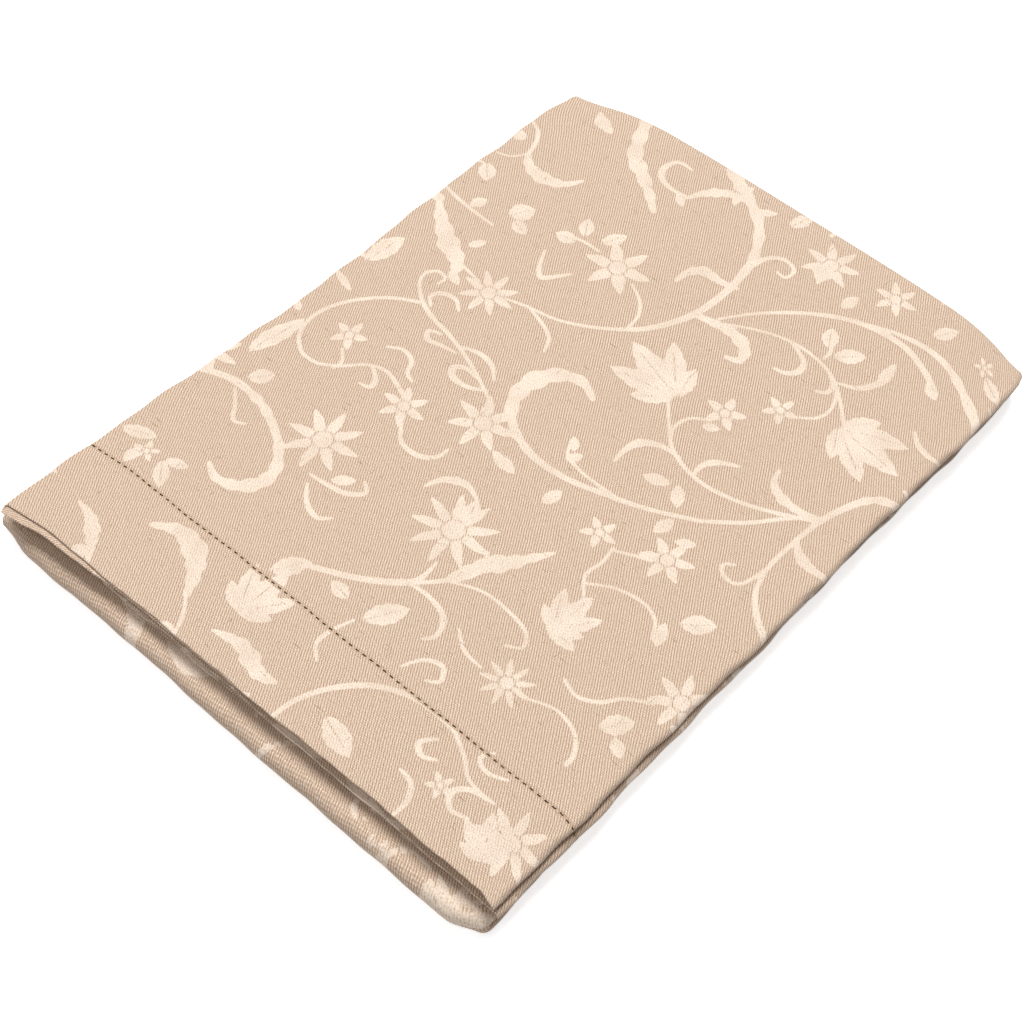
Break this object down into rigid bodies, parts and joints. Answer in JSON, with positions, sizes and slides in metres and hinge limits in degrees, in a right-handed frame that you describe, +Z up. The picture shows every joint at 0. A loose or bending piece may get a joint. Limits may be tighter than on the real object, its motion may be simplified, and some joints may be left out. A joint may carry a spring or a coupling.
{
  "type": "folded tablecloth",
  "caption": "Hemmed linen damask tablecloth folded into a flat rectangular packet, with hemstitched ends and rounded folds, that opens at its last fold.",
  "frame": {"origin": "middle of the packet's underside", "axes": "+X along the front hem edge, +Y from the front hem edge to the back folds, +Z up"},
  "size_m": [0.3754, 0.5258, 0.0275],
  "materials": {
    "damask": "natural linen damask, twill ground with satin figure, soft sheen",
    "hem": "turned and sewn linen hem, matt twill",
    "hemstitch": "drawn-thread hemstitching in natural linen thread"
  },
  "bodies": {
    "lower_leaves": {"third_leaf": "damask", "third_leaf_outer_side_hem": "hem", "third_leaf_inner_side_hem": "hem", "bottom_leaf": "damask", "bottom_leaf_outer_side_hem": "hem", "bottom_leaf_inner_side_hem": "hem", "front_fold": "damask", "outer_back_fold": "damask", "inner_back_fold": "damask"},
    "top_leaf": {"top_leaf": "damask", "top_leaf_outer_side_hem": "hem", "top_leaf_inner_side_hem": "hem", "top_leaf_end_hem": "hem", "top_leaf_hemstitch": "hemstitch"},
    "second_leaf": {"second_leaf": "damask", "second_leaf_outer_side_hem": "hem", "second_leaf_inner_side_hem": "hem", "second_leaf_end_hem": "hem", "second_leaf_hemstitch": "hemstitch"}
  },
  "joints": [
    {"name": "top_leaf_fold", "type": "hinge", "parent": "lower_leaves", "child": "top_leaf", "pos_m": [0, 0.24914, 0.01372], "axis": [-1, 0, 0], "range_deg": [0, 180], "deforming": ["outer_back_fold"]},
    {"name": "second_leaf_fold", "type": "hinge", "parent": "lower_leaves", "child": "second_leaf", "pos_m": [0, 0.24914, 0.01372], "axis": [-1, 0, 0], "range_deg": [0, 180], "deforming": ["inner_back_fold"]}
  ],
  "couplings": [
    {"joint": "second_leaf_fold", "follows": "top_leaf_fold", "ratio": 1}
  ]
}
